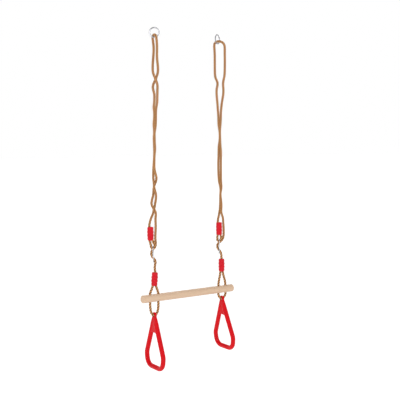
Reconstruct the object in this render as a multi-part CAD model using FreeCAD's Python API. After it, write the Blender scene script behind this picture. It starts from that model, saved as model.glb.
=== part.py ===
import FreeCAD, Part
import math
import os

# Children's trapeze: a wooden bar on two doubled hanging ropes, with a triangular
# hand ring threaded on the rope loop under each end of the bar.
# Units are millimetres.  +X runs along the bar, +Y is the depth, +Z is up.
# The origin is the point of the left steel ring that bears on its hook.
# Each side is modelled about the middle of its steel ring's lower wire.

V = FreeCAD.Vector

# hanging rings
RING_MEAN_R = 17.75
RING_WIRE_R = 2.25
RING_SPACING = 302.0
RING_YAW = {"left": -36.5, "right": 24.4}
PIVOT_Z = -(2 * RING_MEAN_R - RING_WIRE_R)

# rope
ROPE_R = 5.0
ARC_SHARE = 0.45
BORE_GAP = 0.15

# bar, whose pairs of holes stand a little wider apart than the hooks, and which hangs
# a little lower on the right; PAIR_X is from each steel ring to its pair's middle
BAR_R = 15.0
BAR_LENGTH = 441.0
BAR_END_R = 3.0
BAR_Z = {"left": -994.0, "right": -1002.0}
PAIR_X = {"left": -18.5, "right": 12.5}
PAIR_SPACING = RING_SPACING + PAIR_X["right"] - PAIR_X["left"]
BAR_TILT_DEG = math.degrees(math.atan((BAR_Z["left"] - BAR_Z["right"]) / PAIR_SPACING))
HOLE_SPACING = 38.0
HOLE_R = 6.0

# the doubled strands spread in a frame turned this much from the bar
SPREAD_DEG = -36.5

# clamping sleeves: barrels with round ribs that thin towards both ends, and the middle
# and lean of each
SLEEVE_H = 52.0
SLEEVE_CREST_R = (12.1, 12.9, 12.9, 12.1)
SLEEVE_GROOVE_R = 11.0
SLEEVE_END_R = 9.8
UPPER_SLEEVE = {"left": (-14.5, 0.0, -744.5), "right": (-7.2, 0.0, -749.5)}
LOWER_SLEEVE = {"left": (3.2, -920.5), "right": (-0.8, -901.5)}
LOWER_SLEEVE_LEAN = {"left": 4.5, "right": 0.0}

# length adjusters: across and height of each plate's middle, and its lean
PLATE_T = 3.0
PLATE_W = 31.0
PLATE_H = 64.0
PLATE_CORNER_R = 13.0
PLATE_EDGE_R = 0.6
PLATE_WAIST = 3.0
WAIST_R = 20.0
SLOT_W = 22.0
SLOT_H = 22.0
SLOT_DROP = 17.0
SLOT_CORNER_R = 4.0
PLATE = {"left": (-3.2, -824.0), "right": (-7.8, -823.0)}
PLATE_LEAN = {"left": 1.5, "right": -1.5}

# hand rings; depths are measured down from the eyelet's top
GRIP_R = 9.5
EYE_BORE_R = 6.6
EYE_WALL = 5.0
EYE_HALF_T = 5.0
EYE_Z = {"left": -1061.4, "right": -1041.0}
HAND_RING_LEAN = {"left": 0.0, "right": 3.8}
ARM_TOP = 16.0
ARM_BEND = (58.8, 168.5)
GRIP_CORNER = (51.8, 217.0)
BEND_R = 35.0
CORNER_R = 32.0
SHOULDER_TOP = 18.0
SHOULDER_BOTTOM = 62.0
WEB_T = 14.0
WEB_BOTTOM = 85.0
WEB_CROWN = 7.0

# Free strands of a doubled rope: height, middle across, half spacing, degrees turned.
PAIR = {"left": [
    (-14, 2.3, 12.7, -53), (-42, 4.4, 11.6, -55), (-80, 2.7, 10.5, -45), (-108, 3.6, 11.4, -24),
    (-132, 4.4, 9.8, 10), (-146, 4.4, 7.8, 58), (-157, 5.0, 6.8, 88), (-167, 4.4, 7.6, 126),
    (-177, 3.8, 8.8, 156), (-189, 3.2, 9.2, 178), (-203, 4.6, 7.0, 184), (-216, 6.2, 5.5, 186),
    (-229, 5.8, 5.4, 192), (-241, 5.8, 5.5, 192), (-253, 4.4, 5.6, 198), (-266, 2.0, 5.6, 218),
    (-280, 3.0, 5.3, 240), (-298, 3.4, 5.3, 244), (-320, 1.8, 5.3, 226), (-336, 1.4, 5.3, 238),
    (-351, 1.0, 5.3, 262), (-372, -0.4, 5.3, 288), (-396, 0.2, 5.3, 286), (-421, 1.8, 5.3, 290),
    (-444, 0.4, 5.3, 272), (-470, -0.6, 5.3, 284), (-495, -1.6, 5.3, 290), (-514, 0.6, 5.8, 320),
    (-530, 2.6, 6.6, 352), (-544, 2.4, 6.6, 410), (-557, 0.2, 6.0, 444), (-570, -1.2, 5.8, 466),
    (-586, 1.2, 6.3, 492), (-600, 1.6, 7.0, 512), (-617, -1.8, 7.6, 534), (-631, -3.8, 7.4, 560),
    (-643, -2.2, 6.8, 600), (-655, 0.6, 6.8, 656), (-669, 1.2, 7.2, 688), (-686, -4.2, 8.8, 711),
], "right": [
    (-34, 8.6, 22.6, -29), (-70, 8.4, 22.2, -25), (-106, 7.6, 21.2, -20), (-132, 6.9, 19.8, -17),
    (-150, 8.6, 12.4, -13), (-163, 8.8, 10.6, -8), (-179, 7.2, 13.8, -2), (-200, 6.6, 14.2, 8),
    (-222, 5.2, 11.4, 16), (-246, 4.2, 8.4, 14), (-264, 3.4, 6.8, 10), (-279, 3.2, 5.5, 10),
    (-294, 3.4, 5.2, 20), (-312, 2.8, 5.2, 30), (-330, 2.2, 5.3, 50), (-345, 2.8, 5.3, 78),
    (-361, 3.2, 5.3, 90), (-382, 3.3, 5.3, 94), (-398, 2.2, 5.3, 106), (-411, 1.0, 5.4, 124),
    (-426, 1.6, 5.3, 144), (-450, 1.4, 5.2, 158), (-476, -0.2, 5.2, 170), (-502, -0.4, 5.2, 184),
    (-530, -0.4, 5.2, 200), (-549, -0.6, 5.3, 214), (-564, 1.8, 5.3, 226), (-581, 4.0, 5.3, 244),
    (-596, 2.4, 5.3, 264), (-610, 0.4, 5.3, 272), (-626, 1.4, 5.3, 280), (-643, 2.0, 5.3, 296),
    (-660, 1.5, 5.3, 300), (-675, -0.2, 5.4, 302), (-688, -0.8, 6.2, 318), (-702, 0.4, 9.0, 352),
]}

# Which strand of the pair runs on down to the adjuster; the other one is the fixed strand.
RUNNING = {"left": 1, "right": 1}

# Over the steel ring, from the first strand of the pair to the second: across, deep, height.
ARCH = {"left": [
    (7.1, -9.7, 2.6), (2.9, -4.0, 9.4), (-3.1, 4.2, 9.4), (-7.8, 10.6, 2.7),
], "right": [
    (29.0, -15.9, -10.0), (22.4, -12.4, 2.0), (13.0, -7.2, 8.0),
    (3.4, -1.9, 9.4), (-6.6, 3.6, 8.0), (-12.8, 7.1, -0.6), (-12.8, 7.9, -16.0),
]}

# Rope end in the upper sleeve, round the adjuster's top rail and up through the sleeve.
EYE = {"left": [
    (-9.3, 0.0, -742), (-9.2, -0.1, -758), (-5.4, -2.6, -774), (2.0, -5.2, -786),
    (3.6, -5.4, -796.0), (-0.6, -5.4, -802.0), (-7.8, -5.4, -802.0), (-12.0, -5.4, -796.0),
    (-12.6, -5.2, -786), (-17.0, -2.4, -774), (-19.6, -0.1, -759), (-19.7, 0.0, -730),
    (-18.6, 0.4, -708),
], "right": [
    (-2.0, 0.0, -750), (-1.9, -0.1, -764), (-0.6, -3.0, -778), (0.2, -5.2, -788),
    (0.2, -5.4, -796), (-3.8, -5.4, -801.4), (-11.2, -5.4, -801.4), (-15.2, -5.4, -796),
    (-15.2, -5.2, -788), (-14.0, -3.0, -778), (-12.5, -0.1, -764), (-12.4, 0.0, -738),
    (-11.6, -0.4, -714),
]}

# Running strand past the upper sleeve, through both slots and into the lower sleeve.
RUN = {"left": [
    (6.0, 3.0, -720), (3.2, 4.8, -764), (7.2, 5.5, -793), (-10.8, 4.4, -811),
    (-11.4, 0.8, -831), (7.0, 0.2, -850), (1.4, 1.2, -872), (3.4, 2.4, -892),
], "right": [
    (11.4, 3.0, -732), (12.4, 5.0, -774), (7.4, 5.5, -797), (-15.2, 4.4, -813),
    (-15.8, 0.5, -831), (0.2, 0.2, -848.5), (0.4, 0.8, -876),
]}

# Legs below the lower sleeve: distance right of the pair's middle, and height.
MAIN_LEG = {"left": [(7.8, -918), (7.2, -946), (19.2, -974), (19.0, -991), (19.0, -1009.6)],
            "right": [(4.3, -905), (5.0, -936), (16.6, -968), (19.0, -992), (19.0, -1017.6)]}
BACK_LEG = {"left": [(-2.6, -926), (-4.6, -948), (-19.2, -974), (-19.0, -991), (-19.0, -1009.6)],
            "right": [(-6.2, -908), (-7.0, -936), (-16.6, -968), (-19.0, -992), (-19.0, -1017.6)]}
LOOP = {"left": [(19.0, -1010.2), (18.8, -1029), (15.6, -1049), (7.2, -1060.6),
                 (-7.2, -1060.6), (-15.6, -1049), (-18.8, -1029), (-19.0, -1010.2)],
        "right": [(19.0, -1018.2), (18.2, -1029), (7.4, -1039.8),
                  (-7.4, -1040.8), (-18.0, -1029), (-19.0, -1018.2)]}


def unit(degrees):
    a = math.radians(degrees)
    return V(math.cos(a), math.sin(a), 0)


ACROSS = unit(SPREAD_DEG)
DEEP = unit(SPREAD_DEG + 90)


def spot(side, across, deep, z):
    """A point beside the line from a steel ring to the middle of its pair of holes."""
    return ACROSS * across + DEEP * deep + V(PAIR_X[side] * z / BAR_Z[side], 0, z)


def below(side, right, z):
    """A point in the upright plane through the bar, beside the pair's middle."""
    return V(PAIR_X[side] + right, 0, z)


def strand(side, sign):
    """One of the two strands of a doubled rope, from the top down."""
    route = []
    for z, middle, half, turned in PAIR[side]:
        a = math.radians(turned)
        across = middle + sign * half * math.cos(a)
        route.append(spot(side, across, sign * half * math.sin(a), z))
    return route


def main_route(side):
    """The long piece of rope: eye, fixed strand, arch, running strand and main leg."""
    running = RUNNING[side]
    arch = [spot(side, *p) for p in ARCH[side]]
    if running == 1:
        arch.reverse()
    route = [spot(side, *p) for p in EYE[side]]
    route += list(reversed(strand(side, -running)))
    route += arch
    route += strand(side, running)
    route += [spot(side, *p) for p in RUN[side]]
    route += [below(side, *p) for p in MAIN_LEG[side]]
    return route


def back_route(side):
    return [below(side, *p) for p in BACK_LEG[side]]


def loop_route(side):
    return [below(side, *p) for p in LOOP[side]]


def round_corner(before, corner, after, setback, radius):
    """The tangent points and the middle of the arc that replaces a corner."""
    into = corner - before
    out = after - corner
    into.normalize()
    out.normalize()
    inward = out - into
    inward.normalize()
    middle = corner + inward * (math.hypot(setback, radius) - radius)
    return corner - into * setback, middle, corner + out * setback


def rope_path(points):
    """Straight runs joined by tangent arcs; also gives every arc's radius."""
    edges = []
    radii = []
    start = points[0]
    for before, corner, after in zip(points, points[1:], points[2:]):
        into = corner - before
        out = after - corner
        setback = ARC_SHARE * min(into.Length, out.Length)
        radius = setback / math.tan(into.getAngle(out) / 2)
        first, middle, last = round_corner(before, corner, after, setback, radius)
        edges.append(Part.LineSegment(start, first).toShape())
        edges.append(Part.Arc(first, middle, last).toShape())
        radii.append(radius)
        start = last
    edges.append(Part.LineSegment(start, points[-1]).toShape())
    return Part.Wire(edges), radii


def tube(points, radius=ROPE_R):
    path, radii = rope_path(points)
    section = Part.Wire([Part.makeCircle(radius, points[0], points[1] - points[0])])
    return path.makePipeShell([section], True, False, 1), path.Length, radii


def rope(name, points):
    """A rope tube, with its length, tightest radii and volume check printed."""
    solid, length, radii = tube(points)
    share = solid.Volume / (math.pi * ROPE_R ** 2 * length)
    tight = ", ".join("%.0f" % r for r in sorted(radii)[:6])
    print("%s: %.0f mm long, tightest radii %s mm, volume ratio %.4f" % (name, length, tight, share))
    return solid


def hanging_ring(side):
    return Part.makeTorus(RING_MEAN_R, RING_WIRE_R, V(0, 0, RING_MEAN_R), unit(RING_YAW[side] + 90))


def trapeze_bar():
    """Turned wooden bar with rounded ends and two holes for each rope."""
    bar = Part.makeCylinder(BAR_R, BAR_LENGTH, V(-BAR_LENGTH / 2, 0, 0), V(1, 0, 0))
    rims = [e for e in bar.Edges if e.Curve.TypeId == "Part::GeomCircle"]
    bar = bar.makeFillet(BAR_END_R, rims)
    for pair in (-1, 1):
        for hole in (-1, 1):
            x = pair * PAIR_SPACING / 2 + hole * HOLE_SPACING / 2
            bar = bar.cut(Part.makeCylinder(HOLE_R, 2 * BAR_R + 2, V(x, 0, -BAR_R - 1)))
    bar.rotate(V(0, 0, 0), V(0, 1, 0), BAR_TILT_DEG)
    middle_x = (PAIR_X["left"] + RING_SPACING + PAIR_X["right"]) / 2
    bar.translate(V(middle_x, 0, (BAR_Z["left"] + BAR_Z["right"]) / 2))
    return bar


def sleeve(middle, lean_axis, lean, ropes):
    """Ribbed barrel clamped round two rope ends, bored for the given rope routes."""
    half = SLEEVE_H / 2
    pitch = SLEEVE_H / len(SLEEVE_CREST_R)
    grooves = [SLEEVE_GROOVE_R] * (len(SLEEVE_CREST_R) - 1)
    valleys = [SLEEVE_END_R] + grooves + [SLEEVE_END_R]
    edges = [Part.LineSegment(V(0, 0, -half), V(SLEEVE_END_R, 0, -half))]
    for rib, (crest, below_r, above_r) in enumerate(zip(SLEEVE_CREST_R, valleys, valleys[1:])):
        z = rib * pitch - half
        edges.append(Part.Arc(V(below_r, 0, z), V(crest, 0, z + pitch / 2), V(above_r, 0, z + pitch)))
    edges += [Part.LineSegment(V(SLEEVE_END_R, 0, half), V(0, 0, half)),
              Part.LineSegment(V(0, 0, half), V(0, 0, -half))]
    outline = Part.Wire([e.toShape() for e in edges])
    barrel = Part.Face(outline).revolve(V(0, 0, 0), V(0, 0, 1), 360)
    barrel.rotate(V(0, 0, 0), lean_axis, lean)
    barrel.translate(middle)
    for route in ropes:
        barrel = barrel.cut(tube(route, ROPE_R + BORE_GAP)[0])
    return barrel


def upper_sleeve(side):
    end = [spot(side, *p) for p in EYE[side][:4]]
    fixed = [spot(side, *p) for p in EYE[side][-4:]] + strand(side, -RUNNING[side])[:-3:-1]
    return sleeve(spot(side, *UPPER_SLEEVE[side]), DEEP, 0, [end, fixed])


def lower_sleeve(side):
    route = main_route(side)
    return sleeve(below(side, *LOWER_SLEEVE[side]), V(0, 1, 0), LOWER_SLEEVE_LEAN[side],
                  [route[-8:], back_route(side)])


def is_rim(edge):
    """Whether an edge of the flat plate lies in one of its two faces."""
    box = edge.BoundBox
    return box.XLength < 0.01


def adjuster(side):
    """Flat figure-of-eight plate with two slots; its faces look along ACROSS."""
    x = -PLATE_T / 2
    plate = Part.makeBox(PLATE_T, PLATE_W, PLATE_H, V(x, -PLATE_W / 2, -PLATE_H / 2))
    plate = plate.makeFillet(PLATE_CORNER_R, [e for e in plate.Edges if abs(e.Length - PLATE_T) < 0.01])
    for hand in (-1, 1):
        waist = V(x - 1, hand * (PLATE_W / 2 - PLATE_WAIST + WAIST_R), 0)
        plate = plate.cut(Part.makeCylinder(WAIST_R, PLATE_T + 2, waist, V(1, 0, 0)))
        slot = Part.makeBox(PLATE_T + 2, SLOT_W, SLOT_H,
                            V(x - 1, -SLOT_W / 2, hand * SLOT_DROP - SLOT_H / 2))
        corners = [e for e in slot.Edges if abs(e.Length - PLATE_T - 2) < 0.01]
        plate = plate.cut(slot.makeFillet(SLOT_CORNER_R, corners))
    plate = plate.makeFillet(PLATE_EDGE_R, [e for e in plate.Edges if is_rim(e)])
    plate.rotate(V(0, 0, 0), V(0, 1, 0), -PLATE_LEAN[side])
    plate.rotate(V(0, 0, 0), V(0, 0, 1), SPREAD_DEG)
    across, z = PLATE[side]
    plate.translate(spot(side, across, 0, z))
    return plate


def eyelet():
    """Rounded ring about X that the rope loop passes through, centred on the origin."""
    r = EYE_WALL / 2
    x = EYE_HALF_T - r
    inner = EYE_BORE_R
    outer = EYE_BORE_R + EYE_WALL
    mid = EYE_BORE_R + r
    edges = [Part.LineSegment(V(-x, 0, inner), V(x, 0, inner)),
             Part.Arc(V(x, 0, inner), V(EYE_HALF_T, 0, mid), V(x, 0, outer)),
             Part.LineSegment(V(x, 0, outer), V(-x, 0, outer)),
             Part.Arc(V(-x, 0, outer), V(-EYE_HALF_T, 0, mid), V(-x, 0, inner))]
    outline = Part.Wire([e.toShape() for e in edges])
    return Part.Face(outline).revolve(V(0, 0, 0), V(1, 0, 0), 360)


def half_grip():
    """One arm and half of the straight grip, a tube in the YZ plane below the eyelet's top."""
    apex = V(0, 0, -ARM_TOP)
    bend = V(0, ARM_BEND[0], -ARM_BEND[1])
    end = V(0, GRIP_CORNER[0], -GRIP_CORNER[1])
    middle_of_grip = V(0, 0, -GRIP_CORNER[1])
    points = [apex, bend, end, middle_of_grip]
    edges = []
    start = apex
    for before, corner, after, radius in zip(points, points[1:], points[2:], (BEND_R, CORNER_R)):
        setback = radius * math.tan((corner - before).getAngle(after - corner) / 2)
        first, middle, last = round_corner(before, corner, after, setback, radius)
        edges.append(Part.LineSegment(start, first).toShape())
        edges.append(Part.Arc(first, middle, last).toShape())
        start = last
    edges.append(Part.LineSegment(start, middle_of_grip).toShape())
    section = Part.Wire([Part.makeCircle(GRIP_R, apex, bend - apex)])
    return Part.Wire(edges).makePipeShell([section], True, False, 1)


def web():
    """Flat plate that fills the top of the triangle, with an arched lower edge."""
    x = -WEB_T / 2
    half = ARM_BEND[0] / (ARM_BEND[1] - ARM_TOP) * (WEB_BOTTOM - ARM_TOP)
    top = V(x, 0, -ARM_TOP)
    near = V(x, -half, -WEB_BOTTOM)
    far = V(x, half, -WEB_BOTTOM)
    edges = [Part.LineSegment(top, far), Part.Arc(far, V(x, 0, WEB_CROWN - WEB_BOTTOM), near),
             Part.LineSegment(near, top)]
    return Part.Face(Part.Wire([e.toShape() for e in edges])).extrude(V(WEB_T, 0, 0))


def shoulder():
    """Wedge that thins the top of the arms towards the eyelet, seen from the front."""
    outline = [(EYE_HALF_T, 0), (EYE_HALF_T, -SHOULDER_TOP), (GRIP_R + 1, -SHOULDER_BOTTOM),
               (GRIP_R + 1, -GRIP_CORNER[1] - 2 * GRIP_R)]
    points = [V(x, 0, z) for x, z in outline] + [V(-x, 0, z) for x, z in reversed(outline)]
    face = Part.Face(Part.makePolygon(points + points[:1]))
    face.translate(V(0, -2 * ARM_BEND[0], 0))
    return face.extrude(V(0, 4 * ARM_BEND[0], 0))


def handle(side):
    """Triangular hand ring hanging from the rope loop by its eyelet."""
    apex = Part.makeSphere(GRIP_R, V(0, 0, -ARM_TOP))
    near = half_grip()
    far = near.mirror(V(0, 0, 0), V(0, 1, 0))
    body = near.fuse([far, apex, web()]).common(shoulder())
    body.translate(V(0, 0, EYE_BORE_R + EYE_WALL))
    mid = EYE_BORE_R + EYE_WALL / 2
    body = body.cut(Part.makeCylinder(mid, 4 * GRIP_R, V(-2 * GRIP_R, 0, 0), V(1, 0, 0)))
    body = body.fuse(eyelet()).removeSplitter()
    body.rotate(V(0, 0, 0), V(0, 1, 0), -HAND_RING_LEAN[side])
    body.translate(below(side, 0, EYE_Z[side]))
    return body


def build():
    os.makedirs("parts", exist_ok=True)
    nodes = {"trapeze_bar": (trapeze_bar(), V(0, 0, PIVOT_Z))}
    for side, x in (("left", 0), ("right", RING_SPACING)):
        base = V(x, 0, PIVOT_Z)
        nodes[side + "_ring"] = (hanging_ring(side), base)
        nodes[side + "_rope"] = (rope(side + "_rope", main_route(side)), base)
        nodes[side + "_rope_tail"] = (rope(side + "_rope_tail", back_route(side)), base)
        nodes[side + "_rope_loop"] = (rope(side + "_rope_loop", loop_route(side)), base)
        nodes[side + "_upper_sleeve"] = (upper_sleeve(side), base)
        nodes[side + "_lower_sleeve"] = (lower_sleeve(side), base)
        nodes[side + "_adjuster"] = (adjuster(side), base)
        nodes[side + "_handle"] = (handle(side), base)
    for name, (shape, base) in nodes.items():
        shape.translate(base)
        shape = shape.Solids[0] if len(shape.Solids) == 1 else shape
        state = (name, len(shape.Solids), shape.isValid(), shape.Volume)
        print("%s: %d solid, valid %s, volume %.0f" % state)
        shape.exportStep("parts/" + name + ".step")


build()
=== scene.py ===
import math
import bmesh
import bpy
from mathutils import Matrix, Vector


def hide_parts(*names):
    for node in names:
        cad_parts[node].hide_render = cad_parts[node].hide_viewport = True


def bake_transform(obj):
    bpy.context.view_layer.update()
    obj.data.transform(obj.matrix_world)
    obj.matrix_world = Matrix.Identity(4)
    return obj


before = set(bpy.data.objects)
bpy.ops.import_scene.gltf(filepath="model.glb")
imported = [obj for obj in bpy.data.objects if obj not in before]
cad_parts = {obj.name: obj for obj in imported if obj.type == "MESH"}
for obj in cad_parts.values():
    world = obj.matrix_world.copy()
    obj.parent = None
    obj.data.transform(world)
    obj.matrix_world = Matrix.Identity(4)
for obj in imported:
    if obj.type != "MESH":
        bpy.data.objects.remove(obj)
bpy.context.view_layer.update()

# Metres, with +X along the bar, +Y to the back and +Z up. The origin is where the left ring hangs.
SIDES = ("left", "right")
HOOK_SPACING = 0.302
LOWER_WIRE_Z = -0.03325

# Each rope is laid out about the middle of its steel ring's lower wire, in millimetres.
MM = 0.001
BASE = {"left": Vector((0, 0, LOWER_WIRE_Z)), "right": Vector((HOOK_SPACING, 0, LOWER_WIRE_Z))}

# The middle of each rope's pair of holes through the bar, from there.
PAIR_X = {"left": -18.5, "right": 12.5}
BAR_Z = {"left": -994.0, "right": -1002.0}

# Across the doubled ropes and into them, from a front that is turned to the left.
SPREAD = math.radians(-36.5)
ACROSS = Vector((math.cos(SPREAD), math.sin(SPREAD), 0))
DEEP = Vector((-math.sin(SPREAD), math.cos(SPREAD), 0))


# ---------------------------------------------------------------- camera
def aim_camera(place, azimuth, pitch, roll, lens, sensor):
    """Look from place along azimuth and pitch, in degrees, with the picture turned by roll."""
    a, p, r = (math.radians(v) for v in (azimuth, pitch, roll))
    ahead = Vector((-math.sin(a) * math.cos(p), math.cos(a) * math.cos(p), math.sin(p)))
    level = Vector((math.cos(a), math.sin(a), 0))
    over = level.cross(ahead)
    right = level * math.cos(r) + over * math.sin(r)
    up = over * math.cos(r) - level * math.sin(r)
    data = bpy.data.cameras.new("Camera")
    data.sensor_width = sensor
    data.lens = lens
    camera = bpy.data.objects.new("Camera", data)
    bpy.context.scene.collection.objects.link(camera)
    camera.matrix_world = Matrix.Translation(place) @ Matrix((right, up, -ahead)).transposed().to_4x4()
    bpy.context.scene.camera = camera


aim_camera(place=Vector((-1.4345, -2.2176, -0.4621)),
           azimuth=-36.5, pitch=-4.1, roll=-0.6, lens=62.0, sensor=36)

# ---------------------------------------------------------------- rope routes
# Free strands of a doubled rope: height, middle across, half spacing, degrees turned.
PAIR = {"left": [
    (-14, 2.3, 12.7, -53), (-42, 4.4, 11.6, -55), (-80, 2.7, 10.5, -45), (-108, 3.6, 11.4, -24),
    (-132, 4.4, 9.8, 10), (-146, 4.4, 7.8, 58), (-157, 5.0, 6.8, 88), (-167, 4.4, 7.6, 126),
    (-177, 3.8, 8.8, 156), (-189, 3.2, 9.2, 178), (-203, 4.6, 7.0, 184), (-216, 6.2, 5.5, 186),
    (-229, 5.8, 5.4, 192), (-241, 5.8, 5.5, 192), (-253, 4.4, 5.6, 198), (-266, 2.0, 5.6, 218),
    (-280, 3.0, 5.3, 240), (-298, 3.4, 5.3, 244), (-320, 1.8, 5.3, 226), (-336, 1.4, 5.3, 238),
    (-351, 1.0, 5.3, 262), (-372, -0.4, 5.3, 288), (-396, 0.2, 5.3, 286), (-421, 1.8, 5.3, 290),
    (-444, 0.4, 5.3, 272), (-470, -0.6, 5.3, 284), (-495, -1.6, 5.3, 290), (-514, 0.6, 5.8, 320),
    (-530, 2.6, 6.6, 352), (-544, 2.4, 6.6, 410), (-557, 0.2, 6.0, 444), (-570, -1.2, 5.8, 466),
    (-586, 1.2, 6.3, 492), (-600, 1.6, 7.0, 512), (-617, -1.8, 7.6, 534), (-631, -3.8, 7.4, 560),
    (-643, -2.2, 6.8, 600), (-655, 0.6, 6.8, 656), (-669, 1.2, 7.2, 688), (-686, -4.2, 8.8, 711),
], "right": [
    (-34, 8.6, 22.6, -29), (-70, 8.4, 22.2, -25), (-106, 7.6, 21.2, -20), (-132, 6.9, 19.8, -17),
    (-150, 8.6, 12.4, -13), (-163, 8.8, 10.6, -8), (-179, 7.2, 13.8, -2), (-200, 6.6, 14.2, 8),
    (-222, 5.2, 11.4, 16), (-246, 4.2, 8.4, 14), (-264, 3.4, 6.8, 10), (-279, 3.2, 5.5, 10),
    (-294, 3.4, 5.2, 20), (-312, 2.8, 5.2, 30), (-330, 2.2, 5.3, 50), (-345, 2.8, 5.3, 78),
    (-361, 3.2, 5.3, 90), (-382, 3.3, 5.3, 94), (-398, 2.2, 5.3, 106), (-411, 1.0, 5.4, 124),
    (-426, 1.6, 5.3, 144), (-450, 1.4, 5.2, 158), (-476, -0.2, 5.2, 170), (-502, -0.4, 5.2, 184),
    (-530, -0.4, 5.2, 200), (-549, -0.6, 5.3, 214), (-564, 1.8, 5.3, 226), (-581, 4.0, 5.3, 244),
    (-596, 2.4, 5.3, 264), (-610, 0.4, 5.3, 272), (-626, 1.4, 5.3, 280), (-643, 2.0, 5.3, 296),
    (-660, 1.5, 5.3, 300), (-675, -0.2, 5.4, 302), (-688, -0.8, 6.2, 318), (-702, 0.4, 9.0, 352),
]}

# Over the steel ring, from the running strand back to the fixed one: across, deep, height.
ARCH = {"left": [
    (7.1, -9.7, 2.6), (2.9, -4.0, 9.4), (-3.1, 4.2, 9.4), (-7.8, 10.6, 2.7),
], "right": [
    (29.0, -15.9, -10.0), (22.4, -12.4, 2.0), (13.0, -7.2, 8.0),
    (3.4, -1.9, 9.4), (-6.6, 3.6, 8.0), (-12.8, 7.1, -0.6), (-12.8, 7.9, -16.0),
]}

# Rope end in the upper sleeve, round the adjuster's top rail and up through the sleeve.
EYE = {"left": [
    (-9.3, 0.0, -742), (-9.2, -0.1, -758), (-5.4, -2.6, -774), (2.0, -5.2, -786),
    (3.6, -5.4, -796.0), (-0.6, -5.4, -802.0), (-7.8, -5.4, -802.0), (-12.0, -5.4, -796.0),
    (-12.6, -5.2, -786), (-17.0, -2.4, -774), (-19.6, -0.1, -759), (-19.7, 0.0, -730),
    (-18.6, 0.4, -708),
], "right": [
    (-2.0, 0.0, -750), (-1.9, -0.1, -764), (-0.6, -3.0, -778), (0.2, -5.2, -788),
    (0.2, -5.4, -796), (-3.8, -5.4, -801.4), (-11.2, -5.4, -801.4), (-15.2, -5.4, -796),
    (-15.2, -5.2, -788), (-14.0, -3.0, -778), (-12.5, -0.1, -764), (-12.4, 0.0, -738),
    (-11.6, -0.4, -714),
]}

# Running strand past the upper sleeve, through both slots and into the lower sleeve.
RUN = {"left": [
    (6.0, 3.0, -720), (3.2, 4.8, -764), (7.2, 5.5, -793), (-10.8, 4.4, -811),
    (-11.4, 0.8, -831), (7.0, 0.2, -850), (1.4, 1.2, -872), (3.4, 2.4, -892),
], "right": [
    (11.4, 3.0, -732), (12.4, 5.0, -774), (7.4, 5.5, -797), (-15.2, 4.4, -813),
    (-15.8, 0.5, -831), (0.2, 0.2, -848.5), (0.4, 0.8, -876),
]}

# Down through the bar, round under it and up again: distance right of the pair's middle, height.
UNDER = {"left": [
    (7.8, -918), (7.2, -946), (19.2, -974), (19.0, -991), (19.0, -1012), (18.8, -1029),
    (15.6, -1049), (7.2, -1060.6), (-7.2, -1060.6), (-15.6, -1049), (-18.8, -1029),
    (-19.0, -1012), (-19.0, -991), (-19.2, -974), (-4.6, -948), (-2.6, -926),
], "right": [
    (4.3, -905), (5.0, -936), (16.6, -968), (19.0, -992), (19.0, -1014), (18.2, -1029),
    (7.4, -1039.8), (-7.4, -1040.8), (-18.0, -1029), (-19.0, -1014), (-19.0, -992),
    (-16.6, -968), (-7.0, -936), (-6.2, -908),
]}


def spot(side, across, deep, z):
    """A point beside the line from a steel ring to the middle of its pair of holes."""
    lean = Vector((PAIR_X[side] * z / BAR_Z[side], 0, z))
    return BASE[side] + MM * (ACROSS * across + DEEP * deep + lean)


def below(side, right, z):
    """A point in the upright plane through the bar, beside the pair's middle."""
    return BASE[side] + MM * Vector((PAIR_X[side] + right, 0, z))


def strand_of_pair(side, sign):
    """One free strand from the top down: the running strand with sign 1, the fixed one with -1."""
    route = []
    for z, middle, half, turned in PAIR[side]:
        a = math.radians(turned)
        route.append(spot(side, middle + sign * half * math.cos(a), sign * half * math.sin(a), z))
    return route


def rope_route(side):
    """The whole rope: eye, fixed strand, arch over the ring, running strand and loop under the bar."""
    route = [spot(side, *p) for p in EYE[side]]
    route += strand_of_pair(side, -1)[::-1]
    route += [spot(side, *p) for p in ARCH[side]][::-1]
    route += strand_of_pair(side, 1)
    route += [spot(side, *p) for p in RUN[side]]
    return route + [below(side, *p) for p in UNDER[side]]


# ---------------------------------------------------------------- rope meshes
# Steps of the smooth line per control point.
SPLINE_STEPS = 20

# One turn of the strands round the rope takes the lay's length.
ROPE_R = 0.005
STRANDS = 3
LAY = 0.0325
ROWS_PER_LAY = 18

# A strand's middle from the rope's, its half sizes outwards and round the rope, and the sides of its
# outline, which crowd towards the rope's outside.
STRAND_OFFSET = 0.00265
STRAND_THICK = 0.00244
STRAND_WIDE = 0.0030
STRAND_SIDES = 18
CROWDING = 0.45


def smooth_line(name, route):
    """The points of a smooth curve that has the route as its control points."""
    curve = bpy.data.curves.new(name, "CURVE")
    curve.dimensions = "3D"
    curve.resolution_u = SPLINE_STEPS
    spline = curve.splines.new("NURBS")
    spline.points.add(len(route) - 1)
    for point, place in zip(spline.points, route):
        point.co = (*place, 1)
    spline.order_u = 3
    spline.use_endpoint_u = True
    holder = bpy.data.objects.new(name, curve)
    bpy.context.scene.collection.objects.link(holder)
    mesh = bpy.data.meshes.new_from_object(holder)
    line = [v.co.copy() for v in mesh.vertices]
    bpy.data.objects.remove(holder)
    bpy.data.curves.remove(curve)
    bpy.data.meshes.remove(mesh)
    return line


def even_points(line, step):
    """Points along a line that are nearly step apart, and its length."""
    reached = [0.0]
    for a, b in zip(line, line[1:]):
        reached.append(reached[-1] + (b - a).length)
    count = round(reached[-1] / step)
    points = []
    i = 0
    for k in range(count + 1):
        want = reached[-1] * k / count
        while i < len(line) - 2 and reached[i + 1] < want:
            i += 1
        share = (want - reached[i]) / (reached[i + 1] - reached[i])
        points.append(line[i].lerp(line[i + 1], share))
    return points, reached[-1]


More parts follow.
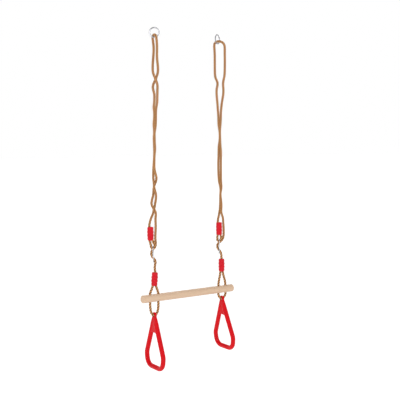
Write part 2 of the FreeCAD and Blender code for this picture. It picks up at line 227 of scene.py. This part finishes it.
def carried_frames(points):
    """Two directions square to the line at each point, carried along it without twist."""
    frames = []
    last = len(points) - 1
    ahead = (points[1] - points[0]).normalized()
    side = ahead.orthogonal().normalized()
    for i in range(len(points)):
        new = (points[min(i + 1, last)] - points[max(i - 1, 0)]).normalized()
        side = ahead.rotation_difference(new) @ side
        side = (side - new * side.dot(new)).normalized()
        ahead = new
        frames.append((side, new.cross(side)))
    return frames


def strand_row(bm, groove, middle, out, round_way):
    """One row of vertices round a strand. Their groove value is 1 on the rope's own surface."""
    row = []
    for s in range(STRAND_SIDES):
        t = 2 * math.pi * s / STRAND_SIDES
        t -= CROWDING * math.sin(t)
        reach = out * (STRAND_OFFSET + STRAND_THICK * math.cos(t))
        reach += round_way * (STRAND_WIDE * math.sin(t))
        vert = bm.verts.new(middle + reach)
        vert[groove] = reach.length / ROPE_R
        row.append(vert)
    return row


def strand_skin(bm, uv, rows, first_u, step):
    """Join the rows by faces and close both ends. The UV runs once round, and along in metres."""
    for i in range(len(rows) - 1):
        for s in range(STRAND_SIDES):
            e = (s + 1) % STRAND_SIDES
            face = bm.faces.new((rows[i][s], rows[i][e], rows[i + 1][e], rows[i + 1][s]))
            face.smooth = True
            corners = ((s, i), (s + 1, i), (s + 1, i + 1), (s, i + 1))
            for loop, (u, v) in zip(face.loops, corners):
                loop[uv].uv = (u / STRAND_SIDES + first_u, v * step)
    bm.faces.new(rows[0][::-1])
    bm.faces.new(rows[-1])


def laid_rope(name, line):
    """Three closed strands laid round the line."""
    points, length = even_points(line, LAY / ROWS_PER_LAY)
    frames = carried_frames(points)
    step = length / (len(points) - 1)
    bm = bmesh.new()
    uv = bm.loops.layers.uv.new("UVMap")
    groove = bm.verts.layers.float.new("groove")
    for k in range(STRANDS):
        rows = []
        for i, (p, (n, b)) in enumerate(zip(points, frames)):
            a = 2 * math.pi * (i * step / LAY + k / STRANDS)
            out = n * math.cos(a) + b * math.sin(a)
            round_way = b * math.cos(a) - n * math.sin(a)
            rows.append(strand_row(bm, groove, p, out, round_way))
        strand_skin(bm, uv, rows, k, step)
    mesh = bpy.data.meshes.new(name)
    bm.to_mesh(mesh)
    bm.free()
    rope = bpy.data.objects.new(name, mesh)
    bpy.context.scene.collection.objects.link(rope)
    return rope


# ---------------------------------------------------------------- materials
# The sockets of a Mix node that are used when it mixes colours: factor, first and second, result.
MIX_INPUTS = (0, 6, 7)
MIX_RESULT = 2


class Material:
    """A node material whose nodes are added and linked by short calls."""

    def __init__(self, name, **sockets):
        self.made = bpy.data.materials.new(name)
        self.made.use_nodes = True
        self.tree = self.made.node_tree
        self.surface = self.tree.nodes["Principled BSDF"]
        for socket, value in sockets.items():
            self.surface.inputs[socket.replace("_", " ")].default_value = value

    def node(self, kind, inputs=(), **settings):
        node = self.tree.nodes.new("ShaderNode" + kind)
        for key, value in settings.items():
            setattr(node, key, value)
        for socket, value in dict(inputs).items():
            self.join(value, node.inputs[socket])
        return node

    def join(self, value, socket):
        """Give a socket a value, or link it to another socket or to a node's first output."""
        if isinstance(value, bpy.types.NodeSocket):
            self.tree.links.new(value, socket)
        elif isinstance(value, bpy.types.Node):
            self.tree.links.new(value.outputs[0], socket)
        else:
            socket.default_value = value

    def give(self, socket, value):
        self.join(value, self.surface.inputs[socket])

    def place(self):
        return self.node("TexCoord").outputs["Object"]

    def scaled(self, vector, scale):
        return self.node("Mapping", {"Vector": vector, "Scale": scale})

    def math(self, operation, a, b=0.0):
        return self.node("Math", {0: a, 1: b}, operation=operation)

    def map_range(self, value, **limits):
        inputs = {key.replace("_", " ").title(): limit for key, limit in limits.items()}
        return self.node("MapRange", {"Value": value, **inputs})

    def ramp(self, factor, *stops):
        node = self.node("ValToRGB", {0: factor})
        ramp = node.color_ramp
        while len(ramp.elements) < len(stops):
            ramp.elements.new(0.5)
        for element, (place, colour) in zip(ramp.elements, stops):
            element.position = place
            element.color = (*colour, 1)
        return node

    def noise(self, vector, scale, detail=3.0, rough=0.5):
        inputs = {"Vector": vector, "Scale": scale, "Detail": detail, "Roughness": rough}
        return self.node("TexNoise", inputs)

    def mix(self, factor, a, b):
        node = self.node("Mix", data_type="RGBA")
        for socket, value in zip(MIX_INPUTS, (factor, a, b)):
            self.join(value, node.inputs[socket])
        return node.outputs[MIX_RESULT]

    def bump(self, height, strength, distance):
        inputs = {"Height": height, "Strength": strength, "Distance": distance}
        self.give("Normal", self.node("Bump", inputs))


def grey(v):
    return (v, v, v)


def darker(colour, share):
    return tuple(c * share for c in colour)


# Rope: the strands' two tones, painted shade for the gaps between yarns, two tones of fibre and painted
# shade for the furrows between strands.
ROPE_TONES = ((0.70, 0.32, 0.095), (0.86, 0.44, 0.155))
YARN_GAP_SHADE = (0.50, 0.21, 0.06, 1)
FIBRE_TONES = ((0.44, 0.18, 0.05), (0.96, 0.56, 0.22))
FURROW_SHADE = (0.08, 0.03, 0.009, 1)
YARNS = 9
YARN_LAY = 0.022

# Wood: three tones of the bands of growth, two of the streaks, and the flecks.
GROWTH_TONES = ((0.64, 0.46, 0.32), (0.57, 0.39, 0.26), (0.48, 0.32, 0.20))
STREAK_TONES = ((0.50, 0.34, 0.22), (0.72, 0.54, 0.39))
FLECK = (0.42, 0.24, 0.13, 1)


def rope_material():
    """Yarns wound round each strand and fibres along them, with painted shade in the gaps between yarns
    and in the furrows between the strands.
    """
    m = Material("laid_rope", Roughness=0.6, Specular_IOR_Level=0.3, Sheen_Weight=0.1, Sheen_Roughness=0.5)
    uv = m.node("UVMap", uv_map="UVMap")
    split = m.node("SeparateXYZ", {0: uv})
    turns = m.math("MULTIPLY", split.outputs[1], 1 / YARN_LAY)
    yarn = m.math("ADD", split.outputs[0], turns)
    wave = m.math("SINE", m.math("MULTIPLY", yarn, YARNS * 2 * math.pi))
    grain = m.noise(m.place(), scale=900.0, detail=4.0, rough=0.6)
    patches = m.noise(m.place(), scale=60.0, rough=0.6)
    fibre = m.noise(m.scaled(uv, (40.0, 350.0, 1.0)), scale=2.0, rough=0.6)
    base = m.ramp(patches, (0.3, ROPE_TONES[0]), (0.7, ROPE_TONES[1]))
    # Painted shade: the gaps between yarns, where the bump is low, take a darker colour.
    yarned = m.mix(m.ramp(wave, (0.0, grey(0.0)), (0.55, grey(1.0))), YARN_GAP_SHADE, base)
    streaked = m.mix(0.3, yarned, m.ramp(fibre, (0.3, FIBRE_TONES[0]), (0.7, FIBRE_TONES[1])))
    depth = m.node("Attribute", attribute_name="groove").outputs["Fac"]
    # Painted shade: towards the rope's middle, below the strands' crests, the colour goes to a dark furrow
    # shade.
    crest = m.map_range(depth, from_min=0.91, from_max=1.00)
    m.give("Base Color", m.mix(crest, FURROW_SHADE, streaked))
    height = m.math("ADD", m.math("MULTIPLY", wave, 0.35), m.math("MULTIPLY", grain, 0.5))
    m.bump(height, strength=0.5, distance=0.0004)
    return m.made


def wood_material():
    """Pale beech: bands of growth, long streaks and short dark flecks along the bar."""
    m = Material("beech", Specular_IOR_Level=0.4)
    place = m.place()
    warp = m.noise(m.scaled(place, (5.0, 20.0, 20.0)), scale=1.0)
    shift = m.node("VectorMath", {0: warp.outputs["Color"], 1: grey(0.004)}, operation="MULTIPLY")
    bent = m.node("VectorMath", {0: place, 1: shift}, operation="ADD")
    rings = m.node("TexWave", {"Vector": m.scaled(bent, (0.4, 60.0, 60.0)),
                               "Scale": 1.2, "Distortion": 1.5, "Detail": 2.0, "Detail Scale": 0.6},
                   wave_type="BANDS", bands_direction="Z", wave_profile="SAW")
    pores = m.noise(m.scaled(place, (130.0, 2200.0, 2200.0)), scale=1.0, detail=2.0, rough=0.55)
    streaks = m.noise(m.scaled(place, (9.0, 420.0, 420.0)), scale=1.0, detail=4.0, rough=0.6)
    base = m.ramp(rings, (0.0, GROWTH_TONES[0]), (0.85, GROWTH_TONES[1]), (1.0, GROWTH_TONES[2]))
    base = m.mix(0.35, base, m.ramp(streaks, (0.25, STREAK_TONES[0]), (0.75, STREAK_TONES[1])))
    fleck = m.ramp(pores, (0.30, grey(1.0)), (0.42, grey(0.0)))
    m.give("Base Color", m.mix(m.math("MULTIPLY", fleck, 0.45), base, FLECK))
    m.give("Roughness", m.map_range(streaks, to_min=0.42, to_max=0.6))
    height = m.math("SUBTRACT", m.math("MULTIPLY", streaks, 0.4), fleck)
    m.bump(height, strength=0.25, distance=0.0003)
    return m.made


def plastic_material(name, colour, roughness, dull):
    """Moulded plastic with soft clouds of tone and a fine grain, as strong as dull says."""
    m = Material(name, Specular_IOR_Level=0.12)
    cloud = m.noise(m.place(), scale=30.0)
    grain = m.noise(m.place(), scale=1400.0, detail=2.0)
    m.give("Base Color", m.ramp(cloud, (0.3, darker(colour, 0.9)), (0.7, colour)))
    m.give("Roughness", m.map_range(cloud, to_min=roughness - 0.06, to_max=roughness + 0.08))
    m.bump(grain, strength=dull, distance=0.0002)
    return m.made


def metal_material(name, colour, roughness, along):
    """Bare metal with smudges, and scratches drawn out by the scale along each axis."""
    m = Material(name, Metallic=1.0)
    scratch = m.noise(m.scaled(m.place(), along), scale=1.0, detail=4.0, rough=0.6)
    smudge = m.noise(m.place(), scale=120.0)
    m.give("Base Color", m.ramp(smudge, (0.3, darker(colour, 0.85)), (0.7, colour)))
    m.give("Roughness", m.map_range(scratch, to_min=roughness - 0.08, to_max=roughness + 0.12))
    m.bump(scratch, strength=0.12, distance=0.0001)
    return m.made


ROPE = rope_material()
WOOD = wood_material()
HANDLE_RED = plastic_material("handle_red", (0.60, 0.003, 0.008), roughness=0.18, dull=0.04)
SLEEVE_RED = plastic_material("sleeve_red", (0.58, 0.010, 0.020), roughness=0.3, dull=0.12)
STEEL = metal_material("zinc_steel", (0.34, 0.34, 0.36), roughness=0.2, along=(900.0, 900.0, 900.0))
ALUMINIUM = metal_material("aluminium", (0.62, 0.62, 0.63), roughness=0.34, along=(1500.0, 1500.0, 90.0))

# ---------------------------------------------------------------- pieces
# A moulded part's skin: the cell size of its even mesh, and how many times that is smoothed.
SKIN_CELL = 0.0009
SKIN_SMOOTHING = 14


def paint(node, material):
    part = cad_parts[node]
    if not part.material_slots:
        part.data.materials.append(material)
    for slot in part.material_slots:
        slot.material = material


def soften_mould(node):
    """Round the inside corners of a moulded part."""
    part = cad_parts[node]
    remesh = part.modifiers.new("even_skin", "REMESH")
    remesh.mode = "VOXEL"
    remesh.voxel_size = SKIN_CELL
    remesh.use_smooth_shade = True
    smooth = part.modifiers.new("rounding", "SMOOTH")
    smooth.factor = 0.5
    smooth.iterations = SKIN_SMOOTHING


def add_rope(side):
    """A laid rope in place of its three plain solids."""
    line = smooth_line(side + "_line", rope_route(side))
    rope = laid_rope(side + "_laid_rope", line)
    rope.data.materials.append(ROPE)
    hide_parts(side + "_rope", side + "_rope_tail", side + "_rope_loop")
    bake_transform(rope)


paint("trapeze_bar", WOOD)
for side in SIDES:
    paint(side + "_ring", STEEL)
    paint(side + "_adjuster", ALUMINIUM)
    paint(side + "_handle", HANDLE_RED)
    soften_mould(side + "_handle")
    paint(side + "_upper_sleeve", SLEEVE_RED)
    paint(side + "_lower_sleeve", SLEEVE_RED)
    add_rope(side)

# ---------------------------------------------------------------- studio
FLOOR_HALF = 150.0
FLOOR_PLACE = (0.15, 0, -2.1)

# The sky is white up to the first height of its directions and dimmest from the second.
SKY_WHITE_UP_TO = 0.28
SKY_DIM_FROM = 0.7
SKY_DIM = 0.3


def area_light(name, place, target, size, power):
    data = bpy.data.lights.new(name, "AREA")
    data.shape = "DISK"
    data.size = size
    data.energy = power
    light = bpy.data.objects.new(name, data)
    bpy.context.scene.collection.objects.link(light)
    light.location = place
    light.rotation_mode = "QUATERNION"
    light.rotation_quaternion = (Vector(target) - Vector(place)).to_track_quat("-Z", "Y")


def studio_floor():
    """A white floor that glows a little more away from the object, so it is greyer under it: a painted
    shadow.
    """
    bm = bmesh.new()
    bmesh.ops.create_grid(bm, x_segments=1, y_segments=1, size=FLOOR_HALF)
    mesh = bpy.data.meshes.new("floor")
    bm.to_mesh(mesh)
    bm.free()
    floor = bpy.data.objects.new("floor", mesh)
    bpy.context.scene.collection.objects.link(floor)
    floor.location = FLOOR_PLACE
    m = Material("floor_white", Base_Color=(0.8, 0.8, 0.8, 1), Roughness=0.9, Specular_IOR_Level=0.1,
                 Emission_Color=(1, 1, 1, 1))
    away = m.node("VectorMath", {0: m.place()}, operation="LENGTH").outputs["Value"]
    # Painted shadow: the glow is weakest within 0.4 m of the floor's middle, under the object, and full
    # from 1.7 m.
    m.give("Emission Strength", m.map_range(away, from_min=0.4, from_max=1.7, to_min=0.45, to_max=0.7))
    mesh.materials.append(m.made)


def studio_sky():
    """White round the horizon and greyer overhead, like a lit wall below a dim ceiling."""
    world = bpy.data.worlds.new("studio")
    bpy.context.scene.world = world
    world.use_nodes = True
    nodes = world.node_tree.nodes
    links = world.node_tree.links
    direction = nodes.new("ShaderNodeTexCoord")
    split = nodes.new("ShaderNodeSeparateXYZ")
    fade = nodes.new("ShaderNodeValToRGB")
    links.new(direction.outputs["Generated"], split.inputs[0])
    links.new(split.outputs["Z"], fade.inputs[0])
    links.new(fade.outputs[0], nodes["Background"].inputs["Color"])
    low, high = fade.color_ramp.elements
    low.position = SKY_WHITE_UP_TO
    low.color = (*grey(1), 1)
    high.position = SKY_DIM_FROM
    high.color = (*grey(SKY_DIM), 1)
    nodes["Background"].inputs["Strength"].default_value = 1.0


studio_floor()
studio_sky()
area_light("key", place=(-1.9, -1.6, 0.35), target=(0.1, 0, -0.9), size=0.7, power=27)
area_light("fill", place=(0.7, -1.2, 1.8), target=(0.1, 0, -0.9), size=1.0, power=22)
area_light("rim", place=(1.6, 1.6, 0.6), target=(0.1, 0, -0.8), size=0.8, power=12)
bpy.context.scene.view_settings.view_transform = "Standard"
